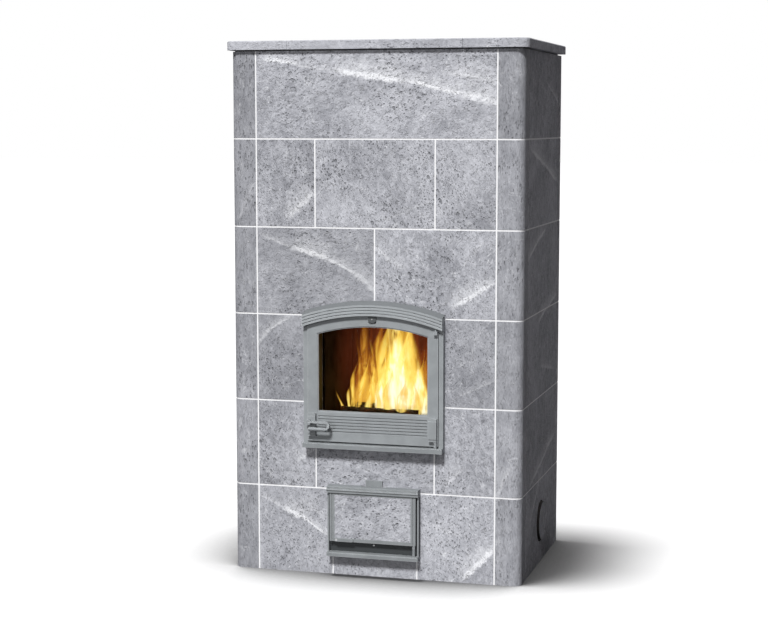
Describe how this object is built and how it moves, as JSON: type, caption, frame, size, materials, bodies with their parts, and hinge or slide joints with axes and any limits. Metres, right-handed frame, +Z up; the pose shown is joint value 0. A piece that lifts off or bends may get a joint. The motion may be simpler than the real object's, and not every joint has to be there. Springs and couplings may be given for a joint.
{
  "type": "masonry heater",
  "caption": "Free-standing soapstone masonry heater with an arched cast-iron firebox door, a small ash door, air slides, soot hatches and a rear flue collar.",
  "frame": {"origin": "on the floor, under the middle of the stone body", "axes": "+X to the right facing the heater, +Y from the front into the heater, +Z up"},
  "size_m": [1.05, 0.7966, 1.83],
  "materials": {
    "soapstone": "honed, veined grey soapstone",
    "core_stone": "sawn soapstone",
    "mortar": "white joint mortar",
    "felt": "dark ceramic felt",
    "insulation": "mineral board",
    "iron": "grey painted cast iron",
    "grate_iron": "bare cast iron",
    "steel": "plain steel",
    "pan_steel": "black sheet steel",
    "glass": "clear glass ceramic",
    "rope": "woven glass rope"
  },
  "bodies": {
    "heater": {"front_1_left": "soapstone", "front_1_sill": "soapstone", "front_1_right": "soapstone", "front_2_left": "soapstone", "front_2_middle": "soapstone", "front_2_right": "soapstone", "front_3_left": "soapstone", "front_3_right": "soapstone", "front_4_left": "soapstone", "front_4_right": "soapstone", "front_5_left": "soapstone", "front_5_middle": "soapstone", "front_5_right": "soapstone", "front_6_slab": "soapstone", "left_corner_stones": "soapstone", "right_corner_stones": "soapstone", "side_slabs": "soapstone", "left_hatch_slab": "soapstone", "right_hatch_slab": "soapstone", "back_stones": "soapstone", "flue_slab": "soapstone", "cover_slab": "soapstone", "mortar_joints": "mortar", "top_felt": "felt", "insulation_board": "insulation", "base_slab": "core_stone", "ash_pit_floor": "core_stone", "ash_pit_walls": "core_stone", "firebox_floor_stones": "core_stone", "firebox_wall_stones": "core_stone", "firebox_ceiling_stones": "core_stone", "upper_chamber_walls": "core_stone", "core_top_slab": "core_stone", "grate": "grate_iron", "flue_collar": "steel", "firebox_hinge_pins": "steel", "ash_hinge_pins": "steel", "apron_screw": "steel", "firebox_frame": "iron", "firebox_hood": "iron", "firebox_sill": "iron", "ash_frame": "iron", "ash_hood": "iron", "ash_sill": "iron"},
    "firebox_door": {"firebox_door": "iron", "door_glass": "glass", "glass_gasket": "rope", "door_rope_seal": "rope", "glass_clips": "steel"},
    "door_handle": {"door_handle": "iron", "firebox_latch_cam": "steel"},
    "upper_air_slide": {"upper_air_slide": "iron"},
    "ash_door": {"ash_door": "iron", "ash_door_stone": "soapstone"},
    "ash_latch": {"ash_latch": "iron", "ash_latch_cam": "steel"},
    "lower_air_slide": {"lower_air_slide": "iron"},
    "ash_pan": {"ash_pan": "pan_steel"},
    "left_hatch_plug": {"left_hatch_plug": "soapstone"},
    "right_hatch_plug": {"right_hatch_plug": "soapstone"}
  },
  "joints": [
    {"name": "firebox_door_hinge", "type": "hinge", "parent": "heater", "child": "firebox_door", "pos_m": [0.222, -0.379, 0.67], "axis": [0, 0, 1], "range_deg": [0, 110]},
    {"name": "door_handle_turn", "type": "hinge", "parent": "firebox_door", "child": "door_handle", "pos_m": [-0.2195, -0.379, 0.538], "axis": [0, -1, 0], "range_deg": [0, 45]},
    {"name": "upper_air_slide", "type": "slide", "parent": "firebox_door", "child": "upper_air_slide", "axis": [1, 0, 0], "range_m": [-0.009, 0.009]},
    {"name": "ash_door_hinge", "type": "hinge", "parent": "heater", "child": "ash_door", "pos_m": [0.1455, -0.368, 0.2], "axis": [0, 0, 1], "range_deg": [0, 110]},
    {"name": "ash_latch_turn", "type": "hinge", "parent": "ash_door", "child": "ash_latch", "pos_m": [-0.1275, -0.368, 0.129], "axis": [0, -1, 0], "range_deg": [0, 40]},
    {"name": "lower_air_slide", "type": "slide", "parent": "heater", "child": "lower_air_slide", "axis": [1, 0, 0], "range_m": [-0.03, 0.03]},
    {"name": "ash_pan_slide", "type": "slide", "parent": "heater", "child": "ash_pan", "axis": [0, -1, 0], "range_m": [0, 0.2112]},
    {"name": "left_hatch_pull", "type": "slide", "parent": "heater", "child": "left_hatch_plug", "axis": [-1, 0, 0], "range_m": [0, 0.12]},
    {"name": "right_hatch_pull", "type": "slide", "parent": "heater", "child": "right_hatch_plug", "axis": [1, 0, 0], "range_m": [0, 0.12]}
  ],
  "couplings": [
    {"joint": "ash_pan_slide", "follows": "ash_door_hinge", "m_per_rad": 0.11}
  ]
}
